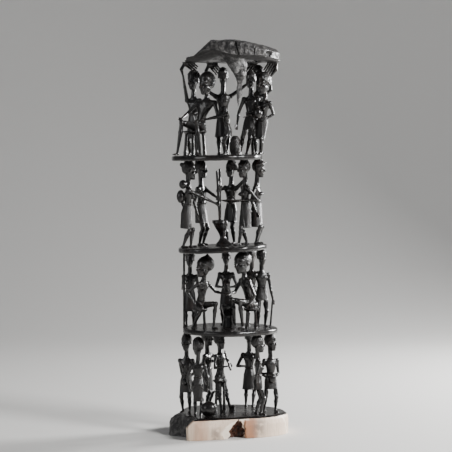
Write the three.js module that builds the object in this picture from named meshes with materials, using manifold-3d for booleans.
// Tiered village carving in African blackwood, cut from one log.
// Four storeys of small figures at their daily work stand one above the other:
// a rough sapwood base, three thin floors, and a heavy canopy with a root hanging under it.
// Millimetres, +Z up. The origin is on the underside of the base, on the log's axis,
// and the carving is seen from the front along +Y.
import * as THREE from "three";
import { mergeVertices } from "three/addons/utils/BufferGeometryUtils.js";
import Module from "manifold-3d";

// Heights, from the ground up.
const BASE_HIGH = 40;
const TIER_CLEAR = [152, 147, 164, 177];
const FLOOR_THICK = 10;
const CANOPY_THICK = 40;

// Each floor is a rough disc: its middle along X, its radius and its fall to the left.
const FLOOR_MIDDLE = [0, 1, -13, -20];
const FLOOR_RADIUS = [95, 91, 85, 87];
const FLOOR_SLOPE = [0, 0, 0.045, 0.02];
const CANOPY_MIDDLE = 7;
const CANOPY_RADIUS = 92;
const CANOPY_DEEP = 86;

// Furniture.
const STOOL_SEAT = 6;
const ELDER_STOOL = { radius: 23, high: 47, leg: 3.8, turn: 14 };
const GUEST_STOOL = { radius: 15, high: 38, leg: 3.2, turn: 45 };
const PIPER_STOOL = { radius: 14, high: 60, leg: 3.2, turn: 45 };
const TABLE_HIGH = 44;
const TABLE_RADIUS = 14;

// Tools and vessels.
const MORTAR_HIGH = 49;
const MORTAR_RADIUS = 15;
const MORTAR_WAIST = 5.5;
const MORTAR_WALL = 3;
const PESTLE_RADIUS = 2.4;
const PESTLE_LONG = 118;
const TRAY_RADIUS = 22;
const TRAY_THICK = 5;
const TRAY_HIGH = 88;
const BASKET_HIGH = 36;
const BASKET_RADIUS = 11;
const GOURD_RADIUS = 13;
const JAR_RADIUS = 9;
const POT_RADIUS = 8;
const BOWL_RADIUS = 8.5;
const CUP_RADIUS = 5;
const CUP_HIGH = 12;
const STAFF_RADIUS = 2.2;
const STICK_LONG = 60;
const FLUTE_RADIUS = 1.8;
const BABY_RADIUS = 8;

// How deep a foot, a crown or a tool runs into what carries it, and the finest edge that is kept.
const SEAM = 1.2;
const FINEST_EDGE = 1.27;

const wasm = await Module();
wasm.setup();

const UP = new THREE.Vector3(0, 0, 1);
const point = (x, y, z) => new THREE.Vector3(x, y, z);
const along = (from, direction, length) => from.clone().addScaledVector(direction, length);
const radians = THREE.MathUtils.degToRad;

// The level direction of a turn: 0 is to the front, and positive turns to the right of the picture.
const facing = (turn) => point(Math.sin(radians(turn)), -Math.cos(radians(turn)), 0);

// The top surface of floor i, at its middle and at x, and the surface overhead.
const floorLevel = (i) => TIER_CLEAR.slice(0, i).reduce((sum, clear) => sum + clear + FLOOR_THICK, BASE_HIGH);
const floorAt = (i, x) => floorLevel(i) + FLOOR_SLOPE[i] * (x - FLOOR_MIDDLE[i]);
const CANOPY_LOW = floorLevel(3) + TIER_CLEAR[3];
const ceilingAt = (i, x) => (i === 3 ? CANOPY_LOW : floorAt(i + 1, x) - FLOOR_THICK);

// A place on floor i as shares of its radius, raised by a share of the clear height over it.
function spot(i, across, deep, rise = 0) {
  const x = FLOOR_MIDDLE[i] + across * FLOOR_RADIUS[i];
  return point(x, deep * FLOOR_RADIUS[i], floorAt(i, x) + rise * TIER_CLEAR[i]);
}

// Turns a closed three.js geometry into a solid.
function solid(geometry) {
  const bare = geometry.clone();
  bare.deleteAttribute("normal");
  bare.deleteAttribute("uv");
  const merged = mergeVertices(bare, 1e-4);
  const mesh = new wasm.Mesh({
    numProp: 3,
    vertProperties: merged.attributes.position.array,
    triVerts: new Uint32Array(merged.index.array),
  });
  return new wasm.Manifold(mesh);
}

// A cylinder bent through stations, from its upper end down. A station has a place, half its width and
// half its depth. It may push out its front vertex (nose) and side vertices (ear), and its end may be
// domed (peak). right(i) gives the direction of the width at station i.
function loft(stations, sides, right) {
  const last = stations.length - 1;
  const geometry = new THREE.CylinderGeometry(1, 1, 1, sides, last);
  const position = geometry.attributes.position;
  const frames = stations.map((station, i) => {
    const above = stations[Math.max(i - 1, 0)].at;
    const below = stations[Math.min(i + 1, last)].at;
    const rise = station.rise ?? above.clone().sub(below).normalize();
    const side = right(i).clone().projectOnPlane(rise).normalize();
    return { rise, side, front: side.clone().cross(rise) };
  });
  for (let v = 0; v < position.count; v += 1) {
    const i = Math.round((0.5 - position.getY(v)) * last);
    const x = position.getX(v);
    const z = position.getZ(v);
    const { at, wide, deep, nose = 0, ear = 0, peak = 0 } = stations[i];
    const { rise, side, front } = frames[i];
    const out = along(at, side, x * wide + (Math.abs(x) > 0.99 ? Math.sign(x) * ear : 0));
    out.addScaledVector(front, z * deep + (z > 0.99 ? nose : 0));
    if (Math.hypot(x, z) < 0.5) out.addScaledVector(rise, peak);
    position.setXYZ(v, out.x, out.y, out.z);
  }
  return solid(geometry);
}

// A turned piece: a profile of [radius, height] pairs about a foot, whose upper end may lean by a share.
function turned(foot, profile, sides = 8, deepShare = 1, lean = 0) {
  const outline = profile.map(([r, z]) => new THREE.Vector2(r, z));
  const geometry = new THREE.LatheGeometry(outline, sides).rotateX(Math.PI / 2);
  const shear = new THREE.Matrix4().set(1, 0, lean, 0, 0, deepShare, 0, 0, 0, 0, 1, 0, 0, 0, 0, 1);
  geometry.applyMatrix4(shear).translate(foot.x, foot.y, foot.z);
  return solid(geometry);
}

// A round bar between two points.
function bar(from, to, radius, sides = 5, endRadius = radius) {
  const across = Math.abs(to.x - from.x) > Math.abs(to.z - from.z) ? UP : point(1, 0, 0);
  const ends = [
    { at: to, wide: endRadius, deep: endRadius },
    { at: from, wide: radius, deep: radius },
  ];
  return loft(ends, sides, () => across);
}

// A ball squashed along each axis.
function ball(at, wide, deep, high, sides = 7, rows = 5) {
  const geometry = new THREE.SphereGeometry(1, sides, rows).rotateX(Math.PI / 2);
  geometry.scale(wide, deep, high).translate(at.x, at.y, at.z);
  return solid(geometry);
}

// The head from the crown down, as shares of stature: its rise above the chin, half width, half depth,
// and how far it sits forward of the neck.
const HEAD = [
  { rise: 0.187, wide: 0.044, deep: 0.054, forward: -0.008, peak: 0.025 },
  { rise: 0.122, wide: 0.062, deep: 0.076, forward: -0.004, nose: 0.012, ear: 0.012 },
  { rise: 0.034, wide: 0.043, deep: 0.055, forward: 0.014 },
  { rise: 0, wide: 0.028, deep: 0.031, forward: 0 },
];
// The trunk from the neck down to the hips, in the same shares, above the hips.
const TRUNK = [
  { rise: 0.3, wide: 0.032, deep: 0.033, forward: -0.004 },
  { rise: 0.268, wide: 0.092, deep: 0.044, forward: 0.002, yoke: true },
  { rise: 0.11, wide: 0.056, deep: 0.046, forward: 0.004 },
  { rise: 0, wide: 0.076, deep: 0.06, forward: -0.006 },
];
const CROTCH = { rise: -0.05, wide: 0.048, deep: 0.042, forward: 0 };
const NECK_RISE = 0.3;
const HEAD_HIGH = 0.212;
const NECK_LONG = 0.088;
const SEATED_NECK = 0.05;
const SEATED_TRUNK = 1.12;
const SHOULDER = { out: 0.084, rise: 0.262 };
const HIP_OUT = 0.04;
const HIP_HEIGHT = 0.4;
const SEATED_RISE = 0.035;
const UPPER_ARM = 0.17;
const FOREARM = 0.15;
const HAND = 0.05;
const LEG = [0.205, 0.19];
const SEATED_LEG = [0.22, 0.3];
const ANKLE_HIGH = 0.02;
const FOOT = 0.07;
const ARM_RADII = [0.028, 0.022, 0.015, 0.012];
const LEG_RADII = [0.044, 0.03, 0.019, 0.016];
const RAISED_HAND = { wrist: 0.15, knuckles: 0.035, long: 0.13, wide: 0.05, deep: 0.016 };
const SKIRT = { wide: 0.08, deep: 0.066 };
const LONG_CLOTH = 0.17;
const ASIDE = [0.12, 0.02, 0.36];
const OUT_AND_BACK = [1, -0.6, -0.7];
const FEET = [
  [0.045, 0],
  [0.045, 0],
];

// The knee or elbow of a two-part limb, bent towards `pole`. A limb too short for its reach is drawn out.
function bend(from, to, upper, lower, pole) {
  const span = to.clone().sub(from);
  const reach = span.length();
  const axis = span.normalize();
  const stretch = Math.max(1, reach / (upper + lower));
  const [a, b] = [upper * stretch, lower * stretch];
  const share = (a * a - b * b + reach * reach) / (2 * reach);
  const height = Math.sqrt(Math.max(0, a * a - share * share));
  return along(along(from, axis, share), pole.clone().projectOnPlane(axis).normalize(), height);
}

function limb(joints, radii, reference, sides) {
  const stations = joints.map((at, i) => {
    const { wide = radii[i], deep = radii[i] } = radii[i];
    return { at, wide, deep };
  });
  return loft(stations, sides, () => reference);
}

// One carved person. `turn` is the way they face.
// `lean` is forward, `sway` to their left, `look` turns the head to their left and `nod` drops it.
// A hand is a share of stature in the person's own frame (outwards, forwards, up), or a point of the carving.
// `shift` moves the hips off the feet, to the left and forward.
// `broad` widens the shoulders and `bulk` the head. `leg` is the length of thigh and shin.
// `wrap` is a cloth: its hem below the hips and its flare.
function figure({
  tier,
  at,
  turn = 0,
  tall = 1,
  head = 1,
  bulk = 1,
  broad = 1,
  seat = 0,
  leg = seat ? SEATED_LEG : LEG,
  lean = 0,
  sway = 0,
  look = 0,
  nod = 0,
  shift = [0, 0],
  left = ASIDE,
  right = ASIDE,
  elbows = OUT_AND_BACK,
  feet = FEET,
  wrap = null,
  sides = 8,
}) {
  const foot = spot(tier, at[0], at[1]);
  const clear = (ceilingAt(tier, foot.x) - foot.z) * tall + SEAM;
  const trunk = seat ? SEATED_TRUNK : 1;
  const throat = seat ? SEATED_NECK : NECK_LONG;
  const legLong = seat ? SEATED_RISE : HIP_HEIGHT;
  const h = (clear - seat) / (legLong + NECK_RISE * trunk + throat + HEAD_HIGH * head);
  const forward = facing(turn);
  const leftward = UP.clone().cross(forward);
  const place = (outward, out, ahead, up) => {
    const beside = along(along(foot, outward, out * h), forward, ahead * h);
    return along(beside, UP, up * h);
  };
  const hips = place(leftward, shift[0], shift[1], seat / h + legLong);

  const spine = UP.clone().applyAxisAngle(leftward, radians(lean)).applyAxisAngle(forward, radians(-sway));
  const chest = leftward.clone().cross(spine);
  const headUp = UP.clone().applyAxisAngle(leftward, radians(lean * 0.4 + nod));
  const headLeft = leftward.clone().applyAxisAngle(headUp, radians(look)).projectOnPlane(headUp).normalize();
  const face = headLeft.clone().cross(headUp);
  const chin = along(along(hips, spine, NECK_RISE * trunk * h), headUp, throat * h);
  const sized = (row, from, rise, front, size, stretch = 1, widen = 1, deepen = 1) => ({
    at: along(along(from, rise, row.rise * size * stretch), front, row.forward * size),
    rise,
    wide: row.wide * size * widen,
    deep: row.deep * size * deepen,
    nose: (row.nose ?? 0) * size,
    ear: (row.ear ?? 0) * size,
    peak: (row.peak ?? 0) * size,
  });
  const [drop, flare] = wrap ?? [0, 1];
  const cloth = { rise: -drop, wide: SKIRT.wide * flare, deep: SKIRT.deep * flare, forward: 0 };
  const hem = wrap ? cloth : CROTCH;
  const stations = [
    ...HEAD.map((row) => sized(row, chin, headUp, face, h * head, 1, bulk, bulk)),
    ...[...TRUNK, hem].map((row) => sized(row, hips, spine, chest, h, trunk, row.yoke ? broad : 1)),
  ];
  const body = loft(stations, sides, (i) => (i < HEAD.length ? headLeft : leftward));

  const arms = [left, right].map((hand, i) => {
    const outward = leftward.clone().multiplyScalar(i === 0 ? 1 : -1);
    const shoulder = along(along(hips, spine, SHOULDER.rise * trunk * h), outward, SHOULDER.out * broad * h);
    const above = hand.way ? along(hand, hand.inwards, hand.tuck * h) : null;
    const raised = hand.way ? along(above, UP, -RAISED_HAND.wrist * h) : null;
    const palm = raised ?? (hand.isVector3 ? hand : place(outward, ...hand));
    const [out, ahead, up] = elbows;
    const pole = outward.clone().multiplyScalar(out).addScaledVector(forward, ahead).addScaledVector(UP, up);
    const lower = hand.isVector3 && !raised ? FOREARM + HAND : FOREARM;
    const elbow = bend(shoulder, palm, UPPER_ARM * h, lower * h, pole);
    const reach = palm.clone().sub(elbow).normalize();
    const tip = along(palm, reach, hand.isVector3 ? SEAM : HAND * h);
    const fold = elbow.clone().sub(shoulder).cross(reach);
    const radii = ARM_RADII.map((r) => r * h);
    if (!raised) return limb([shoulder, elbow, palm, tip], radii, fold, 4);
    const knuckles = along(hand, hand.inwards, RAISED_HAND.knuckles * h);
    const fingers = { wide: RAISED_HAND.wide * h, deep: RAISED_HAND.deep * h };
    const ends = [knuckles, along(knuckles, hand.way, RAISED_HAND.long * h)];
    const spread = hand.way.clone().cross(point(0, 1, 0));
    const lifted = limb([shoulder, elbow, raised, knuckles], radii, fold, 4);
    return [lifted, limb(ends, [fingers, fingers], spread, 4)];
  });

  // Under a long cloth a leg begins near the knee.
  const skirted = drop > LONG_CLOTH;
  const facets = sides > 6 && !skirted ? 5 : 4;
  const legs = feet.map(([out, ahead], i) => {
    const outward = leftward.clone().multiplyScalar(i === 0 ? 1 : -1);
    const hip = along(hips, outward, HIP_OUT * h);
    const ankle = place(outward, out, ahead, ANKLE_HIGH);
    const pole = forward.clone().addScaledVector(UP, seat ? 0.8 : 0).addScaledVector(outward, 0.2);
    const knee = bend(hip, ankle, leg[0] * h, leg[1] * h, pole);
    const toe = place(outward, out + 0.01, ahead + FOOT, 0.5 * ANKLE_HIGH);
    const radii = LEG_RADII.map((r) => r * h);
    if (skirted) return limb([hip.lerp(knee, 0.8), ankle, toe], radii.slice(1), leftward, facets);
    return limb([hip, knee, ankle, toe], radii, leftward, facets);
  });
  return [body, ...arms.flat(), ...legs];
}

// A round seat on splayed legs.
function stool(foot, { radius, high, leg, turn }) {
  const profile = [
    [0, 0],
    [radius * 0.86, 0],
    [radius, STOOL_SEAT],
    [0, STOOL_SEAT],
  ];
  const seat = turned(along(foot, UP, high - STOOL_SEAT), profile);
  const legs = [0, 1, 2, 3].map((corner) => {
    const way = facing(turn + 90 * corner);
    const low = along(along(foot, way, radius * 0.82), UP, -SEAM);
    const top = along(along(foot, way, radius * 0.7), UP, high - STOOL_SEAT + SEAM);
    return bar(low, top, leg, 4, leg * 0.85);
  });
  return [seat, ...legs];
}

// A goblet mortar with a hollow cup and a spread foot. It leans to the left.
function mortar(foot) {
  const rim = MORTAR_RADIUS;
  const profile = [
    [0, -SEAM],
    [rim * 1.1, -SEAM],
    [rim * 0.9, MORTAR_HIGH * 0.1],
    [MORTAR_WAIST, MORTAR_HIGH * 0.34],
    [rim * 0.7, MORTAR_HIGH * 0.62],
    [rim, MORTAR_HIGH],
    [rim - MORTAR_WALL, MORTAR_HIGH],
    [rim * 0.45, MORTAR_HIGH * 0.7],
    [0, MORTAR_HIGH * 0.66],
  ];
  return turned(foot, profile, 9, 1, -0.18);
}

// A drum, table or pot: a cylinder whose waist may be drawn in or swell out.
function drum(foot, radius, high, waist, sides = 8) {
  const profile = [
    [0, -SEAM],
    [radius * 0.85, -SEAM],
    [radius * waist, high * 0.45],
    [radius, high * 0.86],
    [radius, high],
    [0, high],
  ];
  return turned(foot, profile, sides);
}

// A shallow bowl held in two hands.
function bowl(middle) {
  const profile = [
    [0, -0.6 * BOWL_RADIUS],
    [0.7 * BOWL_RADIUS, -0.35 * BOWL_RADIUS],
    [BOWL_RADIUS, 0.5 * BOWL_RADIUS],
    [0.9 * BOWL_RADIUS, 1.3 * BOWL_RADIUS],
    [0, 1.4 * BOWL_RADIUS],
  ];
  return turned(middle, profile, 7);
}

// A flat winnowing tray with grain heaped in its middle.
function winnowingTray(middle) {
  const profile = [
    [0, -TRAY_THICK],
    [TRAY_RADIUS * 0.7, -TRAY_THICK],
    [TRAY_RADIUS, 0],
    [TRAY_RADIUS * 0.9, 0],
    [TRAY_RADIUS * 0.5, TRAY_THICK * 0.2],
    [0, TRAY_THICK * 1.4],
  ];
  return turned(middle, profile, 10, 0.72);
}

// A round basket with a narrow mouth.
function basket(foot) {
  const profile = [
    [0, -SEAM],
    [BASKET_RADIUS * 0.7, -SEAM],
    [BASKET_RADIUS, BASKET_HIGH * 0.4],
    [BASKET_RADIUS * 0.86, BASKET_HIGH * 0.8],
    [BASKET_RADIUS * 0.4, BASKET_HIGH],
    [0, BASKET_HIGH],
  ];
  return turned(foot, profile, 8);
}

// The wavy edge of a floor: a share added to the radius at each angle.
function wave(angle, phase) {
  return 0.022 * Math.sin(3 * angle + phase) + 0.016 * Math.sin(5 * angle + 2.1 * phase);
}

function floorPlate(i) {
  const sides = 20;
  const rim = Array.from({ length: sides }, (_, k) => {
    const angle = (2 * Math.PI * k) / sides;
    const r = FLOOR_RADIUS[i] * (1 + wave(angle, i * 1.7));
    return new THREE.Vector2(FLOOR_MIDDLE[i] + r * Math.cos(angle), r * Math.sin(angle));
  });
  const plate = { depth: FLOOR_THICK, bevelEnabled: false };
  const geometry = new THREE.ExtrudeGeometry(new THREE.Shape(rim), plate);
  const lift = floorAt(i, 0) - FLOOR_THICK;
  const fall = new THREE.Matrix4().set(1, 0, 0, 0, 0, 1, 0, 0, FLOOR_SLOPE[i], 0, 1, lift, 0, 0, 0, 1);
  return solid(geometry.applyMatrix4(fall));
}

// The base as seen from above: corners as shares of the first floor's radius, front left first.
const BASE_CORNERS = [
  [-0.81, -1.22],
  [-0.1, -1.06],
  [0.36, -0.9],
  [0.84, -0.7],
  [1.2, -0.22],
  [1.1, 0.4],
  [0.55, 0.92],
  [-0.2, 1.02],
  [-0.82, 0.76],
  [-1.15, 0.2],
  [-1.2, -0.5],
  [-0.88, -0.78],
];
// Rings of the base from the top: [share of the outline, height as a share of the base's].
const BASE_RINGS = [
  [0.88, 1],
  [0.96, 0.9],
  [1, 0.6],
  [0.985, 0],
];
// A deep notch in the front of the base, narrow at its top: its middle in the same shares, its lean to
// the right, and rows of [half width as a share of its widest, height as a share of the base's].
const NOTCH = { x: 0.16, y: -0.99, half: 0.165, deep: 1.7, lean: 0.1 };
const NOTCH_ROWS = [
  [0, -0.05],
  [1, -0.05],
  [0.68, 0.36],
  [0.26, 0.72],
  [0, 0.94],
];

// The base is a slice of the log: a rounded upper edge, a low lobe on the left and a deep notch in front.
function base() {
  const size = FLOOR_RADIUS[0];
  const corners = BASE_CORNERS.map(([x, y]) => point(x * size, y * size, 0));
  const outline = new THREE.CatmullRomCurve3(corners, true, "centripetal").getPoints(corners.length * 2);
  outline.pop();
  const geometry = new THREE.CylinderGeometry(1, 1, 1, outline.length, BASE_RINGS.length - 1);
  const position = geometry.attributes.position;
  for (let v = 0; v < position.count; v += 1) {
    const [share, rise] = BASE_RINGS[Math.round((0.5 - position.getY(v)) * (BASE_RINGS.length - 1))];
    const [sine, cosine] = [position.getX(v), position.getZ(v)];
    const middle = Math.hypot(sine, cosine) < 0.5;
    const turn = (Math.atan2(sine, cosine) / (2 * Math.PI) + 1) % 1;
    const corner = outline[Math.round(turn * outline.length) % outline.length];
    const low = !middle && corner.x < size * -0.95;
    const lobe = low ? 0.8 : 1;
    const inner = low ? share * share : share * !middle;
    position.setXYZ(v, corner.x * inner, corner.y * inner, BASE_HIGH * rise * lobe);
  }
  const mouth = point(NOTCH.x * size, NOTCH.y * size, 0);
  const rows = NOTCH_ROWS.map(([share, rise]) => [share * NOTCH.half * size, rise * BASE_HIGH]);
  return solid(geometry).subtract(turned(mouth, rows, 7, NOTCH.deep, NOTCH.lean));
}

// Rings of the canopy from the top: [share of the radius, height above its underside as a share of
// its thickness].
const CANOPY_RINGS = [
  [0.8, 1],
  [0.93, 0.9],
  [1, 0.6],
  [0.96, 0.12],
  [0.84, 0.02],
];

// The canopy is a thick rough slab. Its left shoulder falls away, its top dips to the right, and its
// lower edge is thinner at the front left and lifts a little at the front right.
function canopy() {
  const sides = 18;
  const geometry = new THREE.CylinderGeometry(1, 1, 1, sides, CANOPY_RINGS.length - 1);
  const position = geometry.attributes.position;
  for (let v = 0; v < position.count; v += 1) {
    const [share, rise] = CANOPY_RINGS[Math.round((0.5 - position.getY(v)) * (CANOPY_RINGS.length - 1))];
    const [x, y] = [position.getX(v), -position.getZ(v)];
    const middle = Math.hypot(x, y) < 0.5;
    const angle = Math.atan2(y, x);
    const across = middle ? 0 : x * share * (1 + wave(angle, 4));
    const dip = 0.42 * Math.max(0, across - 0.05) ** 1.2;
    const fall = Math.max(dip, Math.min(0.72, Math.max(0, -across - 0.45) * 2)) * rise;
    const thinLeft = 0.4 * Math.exp(-(((angle + 2.1) / 0.5) ** 2));
    const thin = thinLeft + 0.15 * Math.exp(-(((angle + 1) / 0.45) ** 2));
    position.setXYZ(
      v,
      CANOPY_MIDDLE + across * CANOPY_RADIUS,
      middle ? 0 : y * share * CANOPY_DEEP * (1 + wave(angle, 4)),
      CANOPY_LOW + CANOPY_THICK * (rise - fall + thin * (1 - rise) * !middle),
    );
  }
  return solid(geometry);
}

// The root hangs from the front of the canopy. Each row is its middle and half width as shares of the
// canopy, and its drop below the underside as a share of the room under it.
const ROOT = [
  { x: -0.08, y: -0.62, drop: -0.136, half: 0.163 },
  { x: -0.02, y: -0.66, drop: -0.09, half: 0.207 },
  { x: 0.1, y: -0.6, drop: 0.034, half: 0.174 },
  { x: 0.15, y: -0.55, drop: 0.136, half: 0.12 },
  { x: 0.14, y: -0.52, drop: 0.186, half: 0.065 },
  { x: 0.13, y: -0.5, drop: 0.35, half: 0.06 },
  { x: 0.11, y: -0.48, drop: 0.475, half: 0.016 },
];

function root() {
  const stations = ROOT.map(({ x, y, drop, half }) => ({
    at: point(CANOPY_MIDDLE + x * CANOPY_RADIUS, y * CANOPY_DEEP, CANOPY_LOW - drop * TIER_CLEAR[3]),
    wide: half * CANOPY_RADIUS,
    deep: half * CANOPY_RADIUS * 0.9,
  }));
  return loft(stations, 7, () => point(1, 0, 0));
}

// Where the top of a raised hand touches the canopy. Its long fingers hang inwards and down by `droop`,
// and its wrist is inwards of its top by `tuck`, a share of stature.
function overhead(across, deep, droop, tuck) {
  const top = point(CANOPY_MIDDLE + across * CANOPY_RADIUS, deep * CANOPY_DEEP, CANOPY_LOW - SEAM);
  const inwards = point(-Math.sign(across), 0, 0);
  const way = along(inwards.clone().multiplyScalar(Math.cos(radians(droop))), UP, -Math.sin(radians(droop)));
  return Object.assign(top, { inwards, way, tuck });
}

// First floor: a person with a gourd at their feet, a piper on a tall stool, and neighbours who stand by.
function firstTier() {
  const piper = spot(0, -0.18, 0.02);
  const piperTurn = 42;
  const mouth = along(spot(0, -0.18, 0.02, 0.763), facing(piperTurn), 0.137 * FLOOR_RADIUS[0]);
  const fluteEnd = along(spot(0, -0.18, 0.02, 0.539), facing(piperTurn), 0.316 * FLOOR_RADIUS[0]);
  const bowlHeld = spot(0, 0.86, -0.36, 0.408);
  const potHeld = spot(0, -0.88, -0.33, 0.395);
  const gourd = along(spot(0, -0.395, -0.76), UP, GOURD_RADIUS * 1.05);
  return [
    ...figure({
      tier: 0, at: [-0.62, -0.56], turn: 172, tall: 0.97, head: 1.2, look: 25,
      wrap: [0.22, 0.75], elbows: [1, -0.8, -0.9], feet: [[0.035, 0], [0.035, 0]],
    }),
    ball(gourd, GOURD_RADIUS * 1.2, GOURD_RADIUS, GOURD_RADIUS * 1.15),
    ...figure({
      tier: 0, at: [-0.86, -0.2], turn: -14, head: 1.1, wrap: [0.14, 1.1],
      left: potHeld, right: potHeld, elbows: [0.3, -1, -0.8], sides: 6,
    }),
    ball(potHeld, POT_RADIUS, POT_RADIUS * 0.9, POT_RADIUS * 1.1, 6, 4),
    ...figure({
      tier: 0, at: [-0.18, 0.02], turn: piperTurn, seat: PIPER_STOOL.high, head: 1.15, nod: -4,
      left: mouth.clone().lerp(fluteEnd, 0.45), right: mouth.clone().lerp(fluteEnd, 0.8),
      leg: LEG, feet: [[0.07, 0.14], [0.05, 0.08]], sides: 6,
    }),
    ...stool(piper, PIPER_STOOL),
    bar(mouth, fluteEnd, FLUTE_RADIUS, 5, FLUTE_RADIUS * 1.3),
    ...figure({
      tier: 0, at: [0.58, -0.5], turn: 98, head: 1.1, wrap: [0.08, 0.95],
      right: [0.06, -0.03, 0.37], left: [0.0, 0.14, 0.52], feet: [[0.045, -0.02], [0.045, 0.03]],
    }),
    ...figure({
      tier: 0, at: [0.84, -0.2], turn: 14, head: 1.1, look: 40, wrap: [0.1, 0.9],
      left: bowlHeld, right: bowlHeld, elbows: [0.7, -0.8, -0.8], feet: [[0.07, -0.02], [0.06, -0.1]],
    }),
    bowl(bowlHeld),
    ...figure({
      tier: 0, at: [-0.44, 0.5], turn: 64, wrap: [0.2, 1.15], left: [0.06, 0.16, 0.68], sides: 6,
    }),
    ...figure({
      tier: 0, at: [0.42, 0.62], turn: 165, wrap: [0.18, 1.2], left: [0.06, 0.12, 0.5], sides: 6,
    }),
    drum(spot(0, 0.08, -0.12), CUP_RADIUS, CUP_HIGH, 0.8, 6),
  ];
}

// Second floor: two seated people shake hands over a low table, and others stand round them.
function secondTier() {
  const shake = spot(1, -0.045, -0.3, 0.442);
  const cup = spot(1, -0.07, 0.26, 0.503);
  const staff = along(spot(1, -0.96, -0.02), UP, -SEAM);
  const stick = along(spot(1, 0.86, -0.1), UP, -SEAM);
  return [
    ...figure({
      tier: 1, at: [-0.62, -0.2], turn: 42, seat: GUEST_STOOL.high, tall: 0.97, head: 1.26, bulk: 1.3,
      look: -82, lean: 17, sway: -5, left: shake, right: [0.13, 0.03, 0.34], elbows: [0.6, -0.8, -0.5],
      feet: [[0.06, 0.19], [0.14, 0.02]],
    }),
    ...stool(spot(1, -0.62, -0.2), GUEST_STOOL),
    ...figure({
      tier: 1, at: [0.46, -0.1], turn: -60, seat: GUEST_STOOL.high, head: 1.15, bulk: 1.28,
      look: 18, lean: 19, sway: 4, left: [0.1, 0.11, 0.26], right: shake,
      feet: [[0.08, 0.16], [0.06, 0.18]],
    }),
    ...stool(spot(1, 0.46, -0.1), GUEST_STOOL),
    drum(spot(1, -0.02, 0.0), TABLE_RADIUS, TABLE_HIGH, 0.7),
    ...figure({
      tier: 1, at: [0.68, 0.06], turn: 12, look: 8, wrap: [0.06, 0.9],
      left: [0.13, 0.06, 0.35], right: [0.12, 0.0, 0.38],
    }),
    bar(stick, along(stick, point(0.08, 0, 1), STICK_LONG), STAFF_RADIUS, 4),
    ...figure({
      tier: 1, at: [-0.84, 0.2], turn: -4, wrap: [0.2, 1.1],
      right: along(staff, UP, 0.6 * TIER_CLEAR[1]), elbows: [0.2, -1, -0.6], sides: 6,
    }),
    bar(staff, along(staff, UP, TIER_CLEAR[1] + 2 * SEAM), STAFF_RADIUS),
    ...figure({
      tier: 1, at: [-0.07, 0.56], turn: -4, wrap: [0.2, 1.2], left: cup, right: cup, sides: 6,
    }),
    drum(along(cup, UP, CUP_HIGH / -3), CUP_RADIUS, CUP_HIGH, 0.7, 6),
    ...figure({
      tier: 1, at: [0.48, 0.66], turn: 170, wrap: [0.2, 1.2], left: [0.06, 0.12, 0.5], sides: 6,
    }),
  ];
}

// Third floor: women pound grain at a mortar and winnow it on a tray. One has a baby on her back.
function thirdTier() {
  const foot = spot(2, 0.05, -0.06);
  const cup = along(along(foot, point(-1, 0, 0), MORTAR_RADIUS * 0.53), UP, MORTAR_HIGH * 0.66);
  const upright = point(-0.01, 0, 1).normalize();
  const slant = point(-0.06, -0.05, 1).normalize();
  const pestle = (way, share) => along(cup, way, share * PESTLE_LONG);
  const tray = along(spot(2, 0.22, -0.22), UP, TRAY_HIGH);
  const trayRim = (x, y) => along(tray, point(x, y, -0.08), TRAY_RADIUS);
  return [
    ...figure({
      tier: 2, at: [-0.79, -0.25], turn: 96, lean: 4, head: 1.06, wrap: [0.18, 1.0],
      left: [0.04, -0.02, 0.44], right: pestle(slant, 0.39), elbows: [0.15, -0.3, -1],
      feet: [[0.045, 0.05], [0.05, -0.05]],
    }),
    ball(spot(2, -0.93, -0.27, 0.6), BABY_RADIUS, BABY_RADIUS, BABY_RADIUS * 1.6, 6),
    ball(spot(2, -0.88, -0.31, 0.74), BABY_RADIUS, BABY_RADIUS, BABY_RADIUS * 1.1, 6),
    ...figure({
      tier: 2, at: [-0.48, 0.44], turn: 62, wrap: [0.14, 1.05], left: pestle(slant, 0.49), sides: 6,
    }),
    mortar(foot),
    bar(cup, pestle(upright, 0.96), PESTLE_RADIUS, 6),
    bar(pestle(upright, 0.66), pestle(upright, 0.78), PESTLE_RADIUS * 1.8, 6, PESTLE_RADIUS * 1.2),
    bar(cup, pestle(slant, 0.93), PESTLE_RADIUS, 6),
    ...figure({
      tier: 2, at: [0.2, 0.48], turn: -34, wrap: [0.14, 1.05],
      left: spot(2, 0.26, 0.3, 0.995), right: pestle(upright, 0.71), sides: 6,
    }),
    ...figure({
      tier: 2, at: [0.52, -0.1], turn: -70, look: 6, nod: 6, wrap: [0.2, 1.1],
      left: trayRim(0.7, -0.25), right: trayRim(0.2, 0.6), elbows: [0.2, -0.5, -1],
      feet: [[0.05, 0.1], [0.05, -0.04]],
    }),
    winnowingTray(tray),
    ...figure({
      tier: 2, at: [0.78, 0.06], turn: 78, nod: 8, wrap: [0.2, 1.05],
      left: [0.14, -0.02, 0.42], right: [0.13, 0.02, 0.38],
    }),
  ];
}

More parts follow.
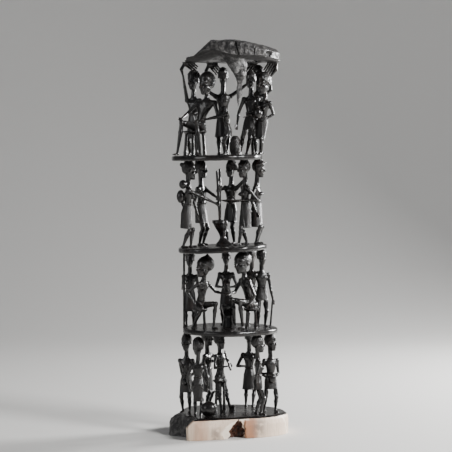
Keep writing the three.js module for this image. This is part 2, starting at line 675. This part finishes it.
// Fourth floor: an elder with a child at their knee, and people who hold up the canopy.
function fourthTier() {
  const lap = spot(3, -0.36, -0.56, 0.373);
  const knee = spot(3, -0.84, -0.42, 0.384);
  return [
    ...figure({
      tier: 3, at: [-0.42, -0.14], turn: -30, seat: ELDER_STOOL.high, tall: 0.91, head: 1.3, bulk: 1.08,
      broad: 1.5, leg: [0.25, 0.36], look: -8, sway: 17, left: lap, right: knee,
      feet: [[0.139, 0.22], [0.12, 0.29]],
    }),
    ...stool(spot(3, -0.52, -0.12), ELDER_STOOL),
    ...figure({
      tier: 3, at: [-0.56, 0.36], turn: -24, tall: 0.92, head: 1.15, wrap: [0.2, 1.1],
      left: [0.12, 0.02, 0.38], right: overhead(-1.0, 0.1, 36, -0.02), elbows: [1, 0.3, -0.2], sides: 6,
    }),
    ...figure({
      tier: 3, at: [0.14, -0.55], turn: -78, tall: 0.65, head: 1.02, lean: 7, shift: [0, -0.05],
      wrap: [0.1, 0.9], left: lap, right: along(lap, point(-0.2, 1, 0), 0.1 * FLOOR_RADIUS[3]),
    }),
    basket(spot(3, 0.365, -0.17)),
    ...figure({
      tier: 3, at: [0.62, -0.03], turn: -14, tall: 0.9, look: -10, wrap: [0.1, 0.9], shift: [0.05, 0],
      left: [0.05, 0.12, 0.46], right: [0.11, 0.04, 0.36], feet: [[0.0, 0], [0.08, 0]],
    }),
    ...figure({
      tier: 3, at: [0.88, -0.12], turn: -40, tall: 0.9, head: 1.38, bulk: 1.08, look: -18, nod: 8, sway: 10,
      wrap: [0.21, 0.9], shift: [0.04, -0.02], left: [0.09, 0, 0.44], right: [0.02, 0.12, 0.5],
      elbows: [0.25, -1, -0.3],
    }),
    ball(spot(3, 0.86, -0.3, 0.44), JAR_RADIUS, JAR_RADIUS, JAR_RADIUS * 1.3),
    ...figure({
      tier: 3, at: [0.84, 0.34], turn: 16, tall: 0.98, sway: 5, wrap: [0.2, 1.1], elbows: [0.1, 1, -0.4],
      left: overhead(0.9, 0.02, 55, 0.06), right: [0.1, 0.06, 0.42], sides: 6,
    }),
    ...figure({
      tier: 3, at: [0.1, 0.66], turn: 178, tall: 0.96, wrap: [0.2, 1.2],
      left: overhead(-0.5, 0.7, 50, 0), right: overhead(0.5, 0.74, 50, 0), sides: 6,
    }),
  ];
}

const parts = [
  base(),
  ...[1, 2, 3].map(floorPlate),
  canopy(),
  root(),
  ...firstTier(),
  ...secondTier(),
  ...thirdTier(),
  ...fourthTier(),
];
const joined = wasm.Manifold.union(parts).asOriginal().simplify(FINEST_EDGE);
// Crumbs that simplifying leaves are dropped.
const carved = joined.decompose().reduce((most, other) => (other.volume() > most.volume() ? other : most));

const surface = carved.getMesh();
const geometry = new THREE.BufferGeometry()
  .setAttribute("position", new THREE.BufferAttribute(surface.vertProperties, 3))
  .setIndex(new THREE.BufferAttribute(surface.triVerts, 1));

const blackwood = new THREE.MeshStandardMaterial({ color: 0x0d0b0b, roughness: 0.32, metalness: 0 });
const carving = new THREE.Mesh(geometry, blackwood);
carving.name = "carving";

const group = new THREE.Group();
group.add(carving);
export default group;
